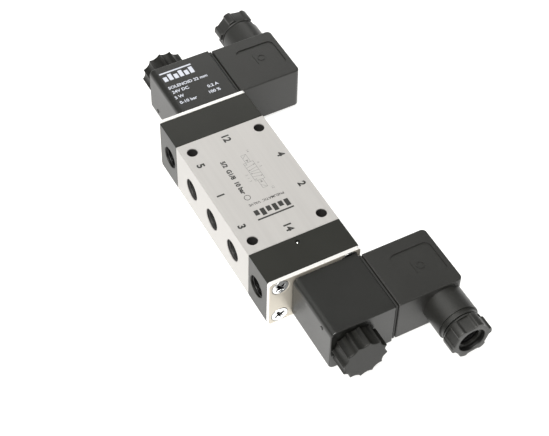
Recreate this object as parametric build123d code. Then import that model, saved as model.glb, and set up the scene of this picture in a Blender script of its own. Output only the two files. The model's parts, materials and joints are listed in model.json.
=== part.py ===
from build123d import *

import os

# A five-port, two-position spool valve driven by two solenoid pilots.
# Its spool lies along X. End 14 is at +X. End 12 is the same pilot assembly, turned half a turn about Y.
# Everything is drawn about the spool's axis, then lifted so that the mounting face is at Z = 0.

# Valve body
BODY_HALF = 31.7
BODY_WIDTH = 40.0
BODY_HEIGHT = 24.5
HALF_W = BODY_WIDTH / 2
HALF_H = BODY_HEIGHT / 2
EDGE = 0.2
BORE_R = 7.5
MOUNT_X = 26.1
MOUNT_Y = 15.3
MOUNT_R = 2.25

# Ports, all of one thread size
PORT_R = 4.75
PORT_DEPTH = 8.8
PORT_LIP = 0.2
PORT_PITCH = 9.0
PASSAGE_R = 2.5
FRONT_PORTS = (-2, 0, 2)
REAR_PORTS = (-1, 1)

# Sleeve stack in the bore
STACK_R = 7.45
SEAL_WIDTH = 2.0
SEALS_PER_SIDE = 3
SEAL_R = 4.55
CAGE_R = 5.2
CAGE_WINDOW = 3.2
BUSH_R = 4.6
BUSH_START = 23.5

# Spool and pistons, drawn centred, then set back by half the stroke
STROKE = 5.0
SPOOL_R = 4.5
NECK_R = 2.6
NECK_END = 5.4
OUTER_NECK = (12.6, 18.6)
SPOOL_END = 34.7
PISTON_R = 7.9
PISTON_LONG = 3.6
STUB_R = 2.5
RING_R = 6.2
RING_WIDTH = 1.8
CHAMBER_R = 8.0
CHAMBER_END = 41.3

# Pilot head
HEAD_END = 47.0
PILOT_PORT_X = 38.25
RECESS_R = 9.0
RECESS_START = 43.8
DUCT_R = 0.8
DUCT_GROOVE = 0.8
DUCT_START = (39.6, -12.2)
DUCT_END = (43.6, -8.2)
SERVICE_Y = 3.0
FACE_SEAL_R = (9.1, 10.2)
FACE_SEAL_THICK = 1.0
BALL_X = 34.5
BALL_R = 0.9
BALL_SUNK = 0.35

# Screws through the head, and screws that hold the flange plate
M3_R = 1.5
M3_HEAD_R = 2.75
M3_HEAD_LONG = 3.0
M3_HEAD_START = 43.6
M3_TIP = 23.7
M3_Y = 9.6
M3_Z = 8.6
HEX_SOCKET = 2.5
M4_R = 2.0
M4_HEAD_R = 3.8
M4_HEAD_LONG = 1.7
M4_LONG = 10.0
M4_Y = 15.1
M4_Z = 8.45
CROSS_LONG = 4.2
CROSS_WIDE = 0.9
CROSS_DEEP = 1.2
SCREW_GAP = 0.05

# Flange plate and solenoid stem
PLATE_END = 48.7
PLATE_CORNER = 1.2
PLATE_EDGE = 0.3
PLATE_HOLE_R = 6.5
BASE_R = 8.8
BASE_GAP = 0.1
BOSS_R = 6.3
TUBE_R = 4.5
TUBE_BORE_R = 4.0
TUBE_FLOOR = 45.8
NOZZLE_R = 1.2
NOZZLE_HOLE_R = 0.5
NOZZLE_END = 46.3
CORE_R = 3.97
CORE_START = 64.0
STUD_R = 4.02
STUD_END = 85.2
VENT_R = 0.6
PLUNGER_R = 3.9
PLUNGER = (46.6, 62.9)
PAD_R = 2.0
PAD_LONG = 1.6
POCKET_R = 2.2
POCKET_START = 56.5
SPRING_R = 1.7
WIRE_R = 0.3
SPRING_START = 56.95
SPRING_LONG = 6.6
SPRING_PITCH = 1.1
WASHER = (48.8, 49.7)
WASHER_R = 7.5

# Coil
COIL = (49.0, 78.4)
COIL_FRONT = -10.15
COIL_BACK = 17.9
COIL_HALF_H = 11.0
COIL_ROUND = 2.5
COIL_EDGE = 0.45
COIL_SEAT_END = 49.9
BOBBIN = (50.0, 78.3)
COIL_BORE_R = 4.6
SLEEVE_R = 5.4
SLEEVE_HOLE_R = 5.5
CAVITY_X = (51.6, 77.2)
CAVITY_Y = (-9.2, 12.8)
CAVITY_HALF_H = 9.3
CAVITY_ROUND = 1.5
BOBBIN_FLANGE_R = 8.6
BOBBIN_FLANGE = 1.2
WINDING = (55.4, 73.4)
WINDING_R = 8.3
YOKE_X = (51.9, 76.9)
YOKE_Y = (-8.8, 12.4)
YOKE_HALF_H = 8.8
YOKE_THICK = 2.0

# Plug connector, standing on the coil's back face
PLUG_X = (50.0, 78.1)
PLUG_MID = 64.0
PLUG_Y = (19.5, 48.0)
PLUG_HALF_H = 10.4
PLUG_ROUND = 2.0
PLUG_EDGE = 0.55
PLUG_WALL = 1.7
PANEL_X = (56.0, 72.4)
PANEL_Y = (27.5, 45.7)
PANEL_DEEP = 0.4
PANEL_CORNER = 2.8
GASKET_INSET = 1.1
GASKET_WALL = 1.4
LIP_INSET = 0.3
LIP_Y = (18.3, 19.1)
BLADE_STEP = 5.5
BLADE_WIDE = 6.3
BLADE_THICK = 0.8
BLADE_Y = (12.9, 27.0)
EARTH_Z = -6.6
INSERT_X = (52.6, 75.6)
INSERT_Y = (20.0, 32.5)
INSERT_HALF_H = 8.3
CONTACT_Y = (20.6, 31.5)
CONTACT_WIDE = 7.6
CONTACT_THICK = 2.4
CONTACT_GAP = 0.1
POST_R = 4.0
POST_START = 33.0
LONG_SCREW_HEAD = (45.1, 47.5)
LONG_SCREW_SEAT = 45.0
LONG_SCREW_TIP = 14.5
LONG_SCREW_HOLE = 13.9
LONG_SCREW_CLEAR = 0.2

# Cable gland
GLAND_Y = 40.0
GLAND_R = 8.7
GLAND_END = 89.0
GLAND_COLLAR_R = 8.0
GLAND_COLLAR_END = 91.0
NECK_THREAD_R = 6.9
GLAND_NECK_END = 95.2
GLAND_BORE_R = 5.9
GROMMET = (86.0, 95.0)
GROMMET_R = (3.2, 5.8)
CLAMP_RING = (95.6, 96.6)
CLAMP_RING_R = (4.2, 6.7)
GLAND_NUT = (91.4, 98.5)
GLAND_NUT_FLOOR = 97.0
GLAND_NUT_BORE_R = 7.0
GLAND_NUT_HOLE_R = 5.7
GLAND_NUT_FLATS = 15.2
GLAND_NUT_R = 9.0
GLAND_RIB_WIDE = 3.6
GLAND_NUT_TURN = 40.0
HEX_SIDES = 6

# Retaining nut on the stem's stud
KNOB = (78.8, 87.4)
KNOB_R = 9.95
KNOB_BORE_R = 4.1
KNOB_BORE_END = 85.6
FLUTES = 12
FLUTE_R = 4.2
FLUTE_AT = 13.0
KNOB_TURN = 7.0
SEAT_RING = (78.75, 79.95)
SEAT_RING_R = (5.2, 7.1)
SEAT_GROOVE_END = 80.1
SEAT_GROOVE_R = (5.1, 7.2)


def block(x, y, z):
    """A box between a low and a high value along each axis."""
    size = Box(x[1] - x[0], y[1] - y[0], z[1] - z[0])
    return Pos((x[0] + x[1]) / 2, (y[0] + y[1]) / 2, (z[0] + z[1]) / 2) * size


def rod(radius, start, end, y=0, z=0):
    """A cylinder along X."""
    return Pos((start + end) / 2, y, z) * Rot(0, 90, 0) * Cylinder(radius, end - start)


def ring(outer, inner, start, end, y=0, z=0):
    """A tube along X."""
    return rod(outer, start, end, y, z) - rod(inner, start, end, y, z)


def rod_y(radius, start, end, x, z=0):
    """A cylinder along Y."""
    return Pos(x, (start + end) / 2, z) * Rot(90, 0, 0) * Cylinder(radius, end - start)


def rod_z(radius, start, end, x, y):
    """A cylinder along Z."""
    return Pos(x, y, (start + end) / 2) * Cylinder(radius, end - start)


def slanted(radius, start, end):
    """A cylinder between two points of the plane Z = 0."""
    line = Line(start, end)
    return sweep(Plane(origin=line @ 0, z_dir=line % 0) * Circle(radius), path=line)


def span(half):
    """The range from minus to plus a half size."""
    return (-half, half)


def corners(y, z):
    """The four places of a rectangular pattern across the Y-Z section."""
    return [(side * y, level * z) for side in (-1, 1) for level in (-1, 1)]


def at_end_12(shape):
    """The same piece at end 12, half a turn about Y away."""
    return Rot(0, 180, 0) * shape


def both_ends(solids):
    """Every solid at end 14, with its twin at end 12."""
    return list(solids) + [at_end_12(solid) for solid in solids]


def save(node, solids):
    """Lifts the solids onto the mounting face and writes them as one node."""
    lifted = [Pos(0, 0, HALF_H) * solid for solid in solids]
    shape = lifted[0] if len(lifted) == 1 else Compound(children=lifted)
    export_step(shape, f"parts/{node}.step")


def port(x, side):
    """The cutter of one threaded port with its lip, from the face on the given side in Y."""
    face = side * HALF_W
    bottom = side * (HALF_W - PORT_DEPTH)
    hole = rod_y(PORT_R, min(face, bottom), max(face, bottom), x)
    lip = Pos(x, face - side * PORT_LIP / 2, 0) * Rot(-90 * side, 0, 0)
    return hole + lip * Cone(PORT_R, PORT_R + PORT_LIP, PORT_LIP)


def valve_body():
    body = block(span(BODY_HALF), span(HALF_W), span(HALF_H))
    body = chamfer(body.edges(), EDGE)
    body -= rod(BORE_R, -BODY_HALF, BODY_HALF)
    for step in FRONT_PORTS:
        body -= port(step * PORT_PITCH, -1)
        body -= rod_y(PASSAGE_R, -HALF_W + PORT_DEPTH, 0, step * PORT_PITCH)
    for step in REAR_PORTS:
        body -= port(step * PORT_PITCH, 1)
        body -= rod_y(PASSAGE_R, 0, HALF_W - PORT_DEPTH, step * PORT_PITCH)
    for x in (-MOUNT_X, MOUNT_X):
        for y in (-MOUNT_Y, MOUNT_Y):
            body -= rod_z(MOUNT_R, -HALF_H, HALF_H, x, y)
    tapped = [
        rod(M3_R + SCREW_GAP, M3_TIP - M3_R / 4, BODY_HALF, y, z) for y, z in corners(M3_Y, M3_Z)
    ]
    for hole in both_ends(tapped):
        body -= hole
    return body


def spacer_cage(middle):
    """A ring between two seals, with four windows for the air."""
    half = (PORT_PITCH - SEAL_WIDTH) / 2
    cage = ring(STACK_R, CAGE_R, middle - half, middle + half)
    cage -= rod_y(CAGE_WINDOW / 2, -BORE_R, BORE_R, middle)
    return cage - rod_z(CAGE_WINDOW / 2, -BORE_R, BORE_R, middle, 0)


def spool_seal(middle):
    return ring(STACK_R, SEAL_R, middle - SEAL_WIDTH / 2, middle + SEAL_WIDTH / 2)


def end_bush():
    return ring(STACK_R, BUSH_R, BUSH_START, BODY_HALF)


def spool():
    """Lands and necks, and a stub at each end for its piston, set back into position 14."""
    shape = rod(SPOOL_R, -SPOOL_END, SPOOL_END)
    shape -= ring(SPOOL_R + EDGE, NECK_R, -NECK_END, NECK_END)
    for neck in both_ends([ring(SPOOL_R + EDGE, NECK_R, *OUTER_NECK)]):
        shape -= neck
    for stub in both_ends([rod(STUB_R, SPOOL_END, SPOOL_END + PISTON_LONG)]):
        shape += stub
    return Pos(-STROKE / 2, 0, 0) * shape


def piston():
    shape = ring(PISTON_R, STUB_R, SPOOL_END, SPOOL_END + PISTON_LONG)
    middle = SPOOL_END + PISTON_LONG / 2
    groove = RING_WIDTH / 2 + SCREW_GAP
    return shape - ring(PISTON_R + EDGE, RING_R, middle - groove, middle + groove)


def piston_seal():
    middle = SPOOL_END + PISTON_LONG / 2
    outer = (PISTON_R + CHAMBER_R) / 2
    return ring(outer, RING_R, middle - RING_WIDTH / 2, middle + RING_WIDTH / 2)


def pilot_head():
    """The block with the piston chamber, the pilot port and the ducts to the stem's seat."""
    head = block((BODY_HALF, HEAD_END), span(HALF_W), span(HALF_H))
    head = chamfer(head.edges(), EDGE)
    head -= rod(CHAMBER_R, BODY_HALF, CHAMBER_END)
    head -= rod(RECESS_R, RECESS_START, HEAD_END)
    head -= port(PILOT_PORT_X, -1)
    seal_in, seal_out = FACE_SEAL_R
    groove_end = BODY_HALF + FACE_SEAL_THICK + BASE_GAP
    head -= ring(seal_out + BASE_GAP, seal_in - BASE_GAP, BODY_HALF, groove_end)
    head -= rod(DUCT_R, CHAMBER_END, RECESS_START, SERVICE_Y)
    groove = (1 - RECESS_R, DUCT_R)
    head -= block((RECESS_START - DUCT_GROOVE, RECESS_START), groove, span(DUCT_R))
    head -= slanted(DUCT_R, DUCT_START, DUCT_END)
    head -= rod_z(BALL_R, 0, HALF_H, BALL_X, 0)
    for y, z in corners(M3_Y, M3_Z):
        head -= rod(M3_R + SCREW_GAP, BODY_HALF, M3_HEAD_START, y, z)
        head -= rod(M3_HEAD_R + SCREW_GAP, M3_HEAD_START, HEAD_END, y, z)
    for y, z in corners(M4_Y, M4_Z):
        head -= rod(M4_R + SCREW_GAP, PLATE_END - M4_LONG - M4_R / 4, HEAD_END, y, z)
    return head


def ball_plug():
    return Pos(BALL_X, 0, HALF_H - BALL_R - BALL_SUNK) * Sphere(BALL_R)


def head_seal():
    seal_in, seal_out = FACE_SEAL_R
    return ring(seal_out, seal_in, BODY_HALF, BODY_HALF + FACE_SEAL_THICK)


def head_screw(y, z):
    """A socket-head screw that holds the head to the body."""
    screw = rod(M3_R, M3_TIP, M3_HEAD_START, y, z)
    screw += rod(M3_HEAD_R, M3_HEAD_START, M3_HEAD_START + M3_HEAD_LONG, y, z)
    socket = extrude(RegularPolygon(HEX_SOCKET / 2, HEX_SIDES, major_radius=False), M3_R)
    return screw - Pos(M3_HEAD_START + M3_HEAD_LONG - M3_R, y, z) * Rot(0, 90, 0) * socket


def flange_screw(y, z):
    """A countersunk screw with a cross recess, flush with the flange plate."""
    cone = Pos(PLATE_END - M4_HEAD_LONG / 2, y, z) * Rot(0, 90, 0)
    screw = rod(M4_R, PLATE_END - M4_LONG, PLATE_END - M4_HEAD_LONG, y, z)
    screw += cone * Cone(M4_R, M4_HEAD_R, M4_HEAD_LONG)
    depth = (PLATE_END - CROSS_DEEP, PLATE_END)
    long_y = (y - CROSS_LONG / 2, y + CROSS_LONG / 2)
    long_z = (z - CROSS_LONG / 2, z + CROSS_LONG / 2)
    wide_y = (y - CROSS_WIDE / 2, y + CROSS_WIDE / 2)
    wide_z = (z - CROSS_WIDE / 2, z + CROSS_WIDE / 2)
    return screw - block(depth, long_y, wide_z) - block(depth, wide_y, long_z)


def flange_plate():
    plate = block((HEAD_END, PLATE_END), span(HALF_W), span(HALF_H))
    plate = fillet(plate.edges().filter_by(Axis.X), PLATE_CORNER)
    plate = fillet(plate.edges().group_by(Axis.X)[-1], PLATE_EDGE)
    plate -= rod(PLATE_HOLE_R, HEAD_END, PLATE_END)
    for y, z in corners(M4_Y, M4_Z):
        cone = Pos((HEAD_END + PLATE_END) / 2, y, z) * Rot(0, 90, 0)
        plate -= cone * Cone(M4_R + SCREW_GAP, M4_HEAD_R + SCREW_GAP, PLATE_END - HEAD_END)
    return plate


def stem_tube():
    """The closed tube that the plunger runs in, with its base disc and its nozzle."""
    stem = rod(BASE_R, RECESS_START + BASE_GAP, HEAD_END - BASE_GAP)
    stem += rod(BOSS_R, HEAD_END - BASE_GAP, PLATE_END - BASE_GAP)
    stem += rod(TUBE_R, PLATE_END - BASE_GAP, COIL[1])
    stem -= rod(TUBE_BORE_R, TUBE_FLOOR, COIL[1])
    stem += rod(NOZZLE_R, TUBE_FLOOR, NOZZLE_END)
    stem -= rod(NOZZLE_HOLE_R, RECESS_START, NOZZLE_END)
    return stem - rod(DUCT_R, RECESS_START, TUBE_FLOOR, SERVICE_Y)


def stem_core():
    """The fixed core in the tube's outer end, with the stud and the vent through both."""
    core = rod(CORE_R, CORE_START, COIL[1]) + rod(STUD_R, COIL[1], STUD_END)
    return core - rod(VENT_R, CORE_START, STUD_END)


def plunger():
    start, end = PLUNGER
    shape = rod(PLUNGER_R, start, end) - rod(PAD_R, start, start + PAD_LONG)
    return shape - rod(POCKET_R, POCKET_START, end)


def plunger_seal():
    return rod(PAD_R, PLUNGER[0], PLUNGER[0] + PAD_LONG)


def plunger_spring():
    coil = Helix(pitch=SPRING_PITCH, height=SPRING_LONG, radius=SPRING_R)
    section = Plane(origin=coil @ 0, z_dir=coil % 0) * Circle(WIRE_R)
    return Pos(SPRING_START, 0, 0) * Rot(0, 90, 0) * sweep(section, path=coil, is_frenet=True)


def coil_washer():
    return ring(WASHER_R, COIL_BORE_R, *WASHER)


def blades():
    """The two current blades and the earth blade, as (x, z) range pairs with no gap."""
    places = []
    for side in (-1, 1):
        middle = PLUG_MID + side * BLADE_STEP
        places.append(((middle - BLADE_THICK / 2, middle + BLADE_THICK / 2), span(BLADE_WIDE / 2)))
    wide = (PLUG_MID - BLADE_WIDE / 2, PLUG_MID + BLADE_WIDE / 2)
    places.append((wide, (EARTH_Z - BLADE_THICK / 2, EARTH_Z + BLADE_THICK / 2)))
    return places


def grown(low_high, gap):
    """A range made longer by a gap at both ends."""
    return (low_high[0] - gap, low_high[1] + gap)


def contact_box(place):
    """The outside of the clamp round one blade."""
    ranges = []
    for low, high in place:
        size = CONTACT_WIDE if high - low > 2 * BLADE_THICK else CONTACT_THICK
        middle = (low + high) / 2
        ranges.append((middle - size / 2, middle + size / 2))
    return ranges


def coil_housing():
    """The moulded shell round the winding, closed but for the stem's bore and the blade slots."""
    shell = block(COIL, (COIL_FRONT, COIL_BACK), span(COIL_HALF_H))
    shell = fillet(shell.edges().filter_by(Axis.X).group_by(Axis.Y)[0], COIL_ROUND)
    shell = fillet(shell.edges(), COIL_EDGE)
    cavity = block(CAVITY_X, CAVITY_Y, span(CAVITY_HALF_H))
    shell -= fillet(cavity.edges().filter_by(Axis.X), CAVITY_ROUND)
    shell -= rod(SLEEVE_HOLE_R, *COIL)
    shell -= rod(WASHER_R + BASE_GAP, COIL[0], COIL_SEAT_END)
    for x, z in blades():
        shell -= block(grown(x, SCREW_GAP), (CAVITY_Y[1], COIL_BACK), grown(z, SCREW_GAP))
    return shell - rod_y(M3_R + SCREW_GAP, LONG_SCREW_HOLE, COIL_BACK, PLUG_MID)


def coil_bobbin():
    bobbin = ring(SLEEVE_R, COIL_BORE_R, *BOBBIN)
    start, end = WINDING
    for low, high in ((start - BOBBIN_FLANGE, start), (end, end + BOBBIN_FLANGE)):
        bobbin += ring(BOBBIN_FLANGE_R, COIL_BORE_R, low, high)
    return bobbin


def coil_winding():
    return ring(WINDING_R, SLEEVE_HOLE_R, *WINDING)


def coil_yoke():
    """A bent iron strip: two end plates joined behind the winding."""
    low, high = YOKE_Y
    yoke = block(YOKE_X, (high - YOKE_THICK, high), span(YOKE_HALF_H))
    for start in (YOKE_X[0], YOKE_X[1] - YOKE_THICK):
        yoke += block((start, start + YOKE_THICK), (low, high), span(YOKE_HALF_H))
    return yoke - rod(SLEEVE_HOLE_R, *YOKE_X)


def coil_terminals():
    return [block(x, BLADE_Y, z) for x, z in blades()]


def plug_section(inset, y):
    """A box with the connector's outline, set in all round."""
    return block(grown(PLUG_X, -inset), y, grown(span(PLUG_HALF_H), -inset))


def connector_gasket():
    """A flat ring, with a thin lip round it between the coil and the connector."""
    height = (COIL_BACK, PLUG_Y[0])
    ring_and_lip = plug_section(GASKET_INSET, height) + plug_section(LIP_INSET, LIP_Y)
    return ring_and_lip - plug_section(GASKET_INSET + GASKET_WALL, height)


def panel(face):
    """The shallow recess on one broad side of the connector."""
    middle_x, middle_y = sum(PANEL_X) / 2, sum(PANEL_Y) / 2
    long_x, long_y = PANEL_X[1] - PANEL_X[0], PANEL_Y[1] - PANEL_Y[0]
    outline = Pos(middle_x, middle_y, face) * RectangleRounded(long_x, long_y, PANEL_CORNER)
    return extrude(outline, PANEL_DEEP)


def connector_housing():
    """The plug's cover: hollow towards the coil, with the gland's tube and threaded neck."""
    shell = block(PLUG_X, PLUG_Y, span(PLUG_HALF_H))
    shell = fillet(shell.edges().filter_by(Axis.Z).group_by(Axis.Y)[-1], PLUG_ROUND)
    shell = fillet(shell.edges(), PLUG_EDGE)
    shell += rod(GLAND_R, PLUG_X[1] - PLUG_WALL, GLAND_END, GLAND_Y)
    shell += rod(GLAND_COLLAR_R, GLAND_END, GLAND_COLLAR_END, GLAND_Y)
    shell += rod(NECK_THREAD_R, GLAND_COLLAR_END, GLAND_NECK_END, GLAND_Y)
    inside_x = grown(PLUG_X, -PLUG_WALL)
    inside_y = (PLUG_Y[0], PLUG_Y[1] - PLUG_WALL)
    shell -= block(inside_x, inside_y, grown(span(PLUG_HALF_H), -PLUG_WALL))
    shell += rod_y(POST_R, POST_START, PLUG_Y[1] - PLUG_WALL / 2, PLUG_MID)
    shell -= rod(GLAND_BORE_R, inside_x[1], GLAND_NECK_END, GLAND_Y)
    shell -= rod_y(M3_HEAD_R + LONG_SCREW_CLEAR, LONG_SCREW_SEAT, PLUG_Y[1], PLUG_MID)
    shell -= rod_y(M3_R + LONG_SCREW_CLEAR, POST_START, LONG_SCREW_SEAT, PLUG_MID)
    return shell - panel(-PLUG_HALF_H) - panel(PLUG_HALF_H - PANEL_DEEP)


def connector_insert():
    """The block that carries the contacts."""
    carrier = block(INSERT_X, INSERT_Y, span(INSERT_HALF_H))
    carrier -= rod_y(M3_R + LONG_SCREW_CLEAR, *INSERT_Y, PLUG_MID)
    for place in blades():
        x, z = contact_box(place)
        carrier -= block(grown(x, CONTACT_GAP), INSERT_Y, grown(z, CONTACT_GAP))
    return carrier


def insert_contacts():
    contacts = []
    for place in blades():
        x, z = contact_box(place)
        slot_x, slot_z = (grown(part, CONTACT_GAP) for part in place)
        contacts.append(block(x, CONTACT_Y, z) - block(slot_x, CONTACT_Y, slot_z))
    return contacts


def connector_screw():
    screw = rod_y(M3_R, LONG_SCREW_TIP, LONG_SCREW_HEAD[0], PLUG_MID)
    screw += rod_y(M3_HEAD_R, *LONG_SCREW_HEAD, PLUG_MID)
    slot = (LONG_SCREW_HEAD[1] - CROSS_DEEP, LONG_SCREW_HEAD[1])
    wide = grown((PLUG_MID, PLUG_MID), M3_HEAD_R)
    return screw - block(wide, slot, span(CROSS_WIDE / 2))


def gland_grommet():
    inner, outer = GROMMET_R
    return ring(outer, inner, *GROMMET, GLAND_Y)


def gland_ring():
    inner, outer = CLAMP_RING_R
    return ring(outer, inner, *CLAMP_RING, GLAND_Y)


def gland_nut():
    """A six-sided cap nut with a raised rib on each corner."""
    start, end = GLAND_NUT
    nut = extrude(RegularPolygon(GLAND_NUT_FLATS / 2, HEX_SIDES, major_radius=False), end - start)
    rib = block(span(GLAND_NUT_R), span(GLAND_RIB_WIDE / 2), (0, end - start))
    for number in range(HEX_SIDES // 2):
        nut += Rot(0, 0, 360 / HEX_SIDES * number) * rib
    outline = Pos(0, 0, (end - start) / 2) * Cylinder(GLAND_NUT_R, end - start)
    turned = Rot(0, 90, 0) * Rot(0, 0, GLAND_NUT_TURN) * (nut & outline)
    nut = Pos(start, GLAND_Y, 0) * turned
    nut -= rod(GLAND_NUT_BORE_R, start, GLAND_NUT_FLOOR, GLAND_Y)
    return nut - rod(GLAND_NUT_HOLE_R, GLAND_NUT_FLOOR, end, GLAND_Y)


def retaining_nut():
    """The fluted nut that holds the coil on its stem."""
    start, end = KNOB
    knob = rod(KNOB_R, start, end)
    flute = Pos(0, FLUTE_AT, 0) * rod(FLUTE_R, start, end)
    for number in range(FLUTES):
        knob -= Rot(KNOB_TURN + 360 / FLUTES * number, 0, 0) * flute
    knob -= rod(KNOB_BORE_R, start, KNOB_BORE_END)
    groove_in, groove_out = SEAT_GROOVE_R
    return knob - ring(groove_out, groove_in, start, SEAT_GROOVE_END)


def nut_seal():
    inner, outer = SEAT_RING_R
    return ring(outer, inner, *SEAT_RING)


PILOT_NODES = {
    "pilot_head": pilot_head,
    "flange_plate": flange_plate,
    "stem_tube": stem_tube,
    "stem_core": stem_core,
    "plunger": plunger,
    "plunger_seal": plunger_seal,
    "plunger_spring": plunger_spring,
    "coil_housing": coil_housing,
    "coil_bobbin": coil_bobbin,
    "coil_winding": coil_winding,
    "coil_yoke": coil_yoke,
    "connector_gasket": connector_gasket,
    "connector_housing": connector_housing,
    "connector_insert": connector_insert,
    "connector_screw": connector_screw,
    "gland_grommet": gland_grommet,
    "gland_ring": gland_ring,
    "gland_nut": gland_nut,
    "nut_seal": nut_seal,
    "retaining_nut": retaining_nut,
}
PILOT_GROUPS = {
    "coil_terminals": coil_terminals,
    "insert_contacts": insert_contacts,
}


def save_valve():
    """The body, the sleeve stack, the spool and the fasteners."""
    steps = FRONT_PORTS + REAR_PORTS
    save("valve_body", [valve_body()])
    save("spacer_cages", [spacer_cage(step * PORT_PITCH) for step in sorted(steps)])
    seals = [spool_seal((number + 0.5) * PORT_PITCH) for number in range(SEALS_PER_SIDE)]
    save("spool_seals", both_ends(seals))
    save("end_bushes", both_ends([end_bush()]))
    save("spool", [spool()])
    set_back = Pos(-STROKE / 2, 0, 0)
    save("pistons", [set_back * solid for solid in both_ends([piston()])])
    save("piston_seals", [set_back * solid for solid in both_ends([piston_seal()])])
    save("head_seals", both_ends([head_seal()]))
    save("ball_plugs", both_ends([ball_plug()]))
    save("coil_washers", both_ends([coil_washer()]))
    save("head_screws", both_ends([head_screw(y, z) for y, z in corners(M3_Y, M3_Z)]))
    save("flange_screws", both_ends([flange_screw(y, z) for y, z in corners(M4_Y, M4_Z)]))


def save_pilots():
    """The two solenoid pilots, one node per piece and end."""
    for name, make in PILOT_NODES.items():
        solid = make()
        save(f"{name}_14", [solid])
        save(f"{name}_12", [at_end_12(solid)])
    for name, make in PILOT_GROUPS.items():
        solids = make()
        save(f"{name}_14", solids)
        save(f"{name}_12", [at_end_12(solid) for solid in solids])


os.makedirs("parts", exist_ok=True)
save_valve()
save_pilots()
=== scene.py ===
import json
import math

import bmesh
import bpy
import numpy as np
from bpy.props import FloatProperty, FloatVectorProperty, IntProperty, PointerProperty, StringProperty
from mathutils import Matrix, Vector


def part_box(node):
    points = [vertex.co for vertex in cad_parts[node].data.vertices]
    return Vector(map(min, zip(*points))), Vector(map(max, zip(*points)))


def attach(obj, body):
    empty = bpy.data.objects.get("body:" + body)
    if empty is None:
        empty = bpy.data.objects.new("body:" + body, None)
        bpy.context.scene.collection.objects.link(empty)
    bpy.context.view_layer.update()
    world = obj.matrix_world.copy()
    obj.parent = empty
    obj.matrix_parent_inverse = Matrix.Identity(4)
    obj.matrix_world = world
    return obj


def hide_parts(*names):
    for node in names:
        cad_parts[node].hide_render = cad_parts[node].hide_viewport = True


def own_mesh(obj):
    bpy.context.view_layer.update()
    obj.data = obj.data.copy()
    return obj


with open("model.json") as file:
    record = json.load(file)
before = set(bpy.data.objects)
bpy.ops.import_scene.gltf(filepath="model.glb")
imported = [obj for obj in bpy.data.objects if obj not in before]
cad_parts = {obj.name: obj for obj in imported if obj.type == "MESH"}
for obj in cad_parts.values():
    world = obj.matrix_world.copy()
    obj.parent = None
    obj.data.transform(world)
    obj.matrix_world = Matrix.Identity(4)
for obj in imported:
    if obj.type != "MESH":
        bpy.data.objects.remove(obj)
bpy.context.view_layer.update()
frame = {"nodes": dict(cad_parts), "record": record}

bl_info = {
    "name": "Solenoid Directional Valve",
    "version": (1, 0, 0),
    "blender": (4, 5, 0),
    "location": "View3D > Sidebar > Valve",
    "description": "Finishes a five-port spool valve with two solenoid pilots, and sets its studio stage",
    "category": "Object",
}

MM = 0.001
ENDS = {"14": 1, "12": -1}
BODY_LOW, BODY_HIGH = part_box("valve_body")
AXIS_Z = (BODY_LOW.z + BODY_HIGH.z) / 2
FLOOR_Z = BODY_LOW.z
SMOOTH_ANGLE = math.radians(32)
FULL_TURN = 2 * math.pi

# How far a lining stands off the wall that it covers
CLEAR = 0.004 * MM

# Where the fluted nuts and the gland nuts stand, in degrees about their own axis
KNOB_TURN = 7.0
GLAND_TURN = 10.0
GLAND_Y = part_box("gland_grommet_14")[0].y / 2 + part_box("gland_grommet_14")[1].y / 2

# The flange screws: head radius of the node in the frame, length, and the place of one screw of the four
SCREW_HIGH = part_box("flange_screws")[1]
SCREW_NODE_R = 3.8 * MM
SCREW_LONG = 10.0 * MM
SCREW_Y = SCREW_HIGH.y - SCREW_NODE_R
SCREW_Z = SCREW_HIGH.z - AXIS_Z - SCREW_NODE_R

# Text on the body's top, and its place in millimetres
PORT_NUMBERS = {
    "12": (-26.7, 0.6), "14": (26.7, 0.5), "5": (-18.0, -15.5), "1": (-0.2, -15.6),
    "3": (17.9, -15.6), "4": (-9.0, 16.2), "2": (9.0, 16.1),
}
SMALL_NUMBERS = {
    "4": (-9.2, 6.0), "2": (-6.9, 6.0), "5": (-4.9, -1.5), "1": (-3.1, -1.5), "3": (-1.4, -1.5),
    "14": (-16.6, 5.0), "12": (5.4, 5.0),
}

# Text on a coil, placed as it is at end 12: x, y and size, in millimetres
LABEL_LINES = (
    ("SOLENOID 22 mm", -65.0, 1.7, 2.3), ("24V DC", -62.0, -3.2, 2.3), ("5 W", -58.6, -5.3, 2.3),
    ("0-10 bar", -55.1, -2.8, 2.3), ("0.2 A", -58.6, 10.4, 2.3), ("100 %", -55.2, 9.6, 2.3),
)

# How much thicker than plain letters each kind of printing is, in millimetres
BOLD = {"port": 0.17, "symbol": 0.0, "rating": 0.12, "name": 0.02, "coil": 0.055}

# Name, place, width in metres and power in watts of each light
LIGHTS = (
    ("key light", (0.6, -0.6, 1.35), 1.0, 38),
    ("side light", (-0.3, -1.2, 1.3), 1.0, 5.0),
    ("far light", (-1.2, 0.45, 0.6), 0.7, 3.5),
    ("top light", (-0.1, -0.35, 1.8), 1.0, 8),
)


# ---------------------------------------------------------------- surfaces


def seat(points, end):
    """Places points given as (way out along the stem, y, height above the stem's axis) at one end.

    End 12 is end 14 turned half a turn about Y: x and z change sign, then z is lifted to the axis."""
    sign = ENDS[end]
    return np.asarray(points, float) * (sign, 1, sign) + (0, 0, AXIS_Z)


def stem_box(node):
    """A node's box at end 14, as (way out, y, height above the stem's axis) ranges."""
    low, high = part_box(node + "_14")
    return (low.x, high.x), (low.y, high.y), (low.z - AXIS_Z, high.z - AXIS_Z)


def turned(rows, count, shape=None):
    """A turned surface about X: a row (x, radius, share) has radius + share * shape(angle) all round."""
    angle = np.linspace(0, FULL_TURN, count, endpoint=False)
    x, radius, share = np.array(rows, float).T[:, :, None]
    r = radius + (share * shape(angle) if shape else 0 * angle)
    return np.stack([x + 0 * r, r * np.cos(angle), r * np.sin(angle)], axis=-1)


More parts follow.
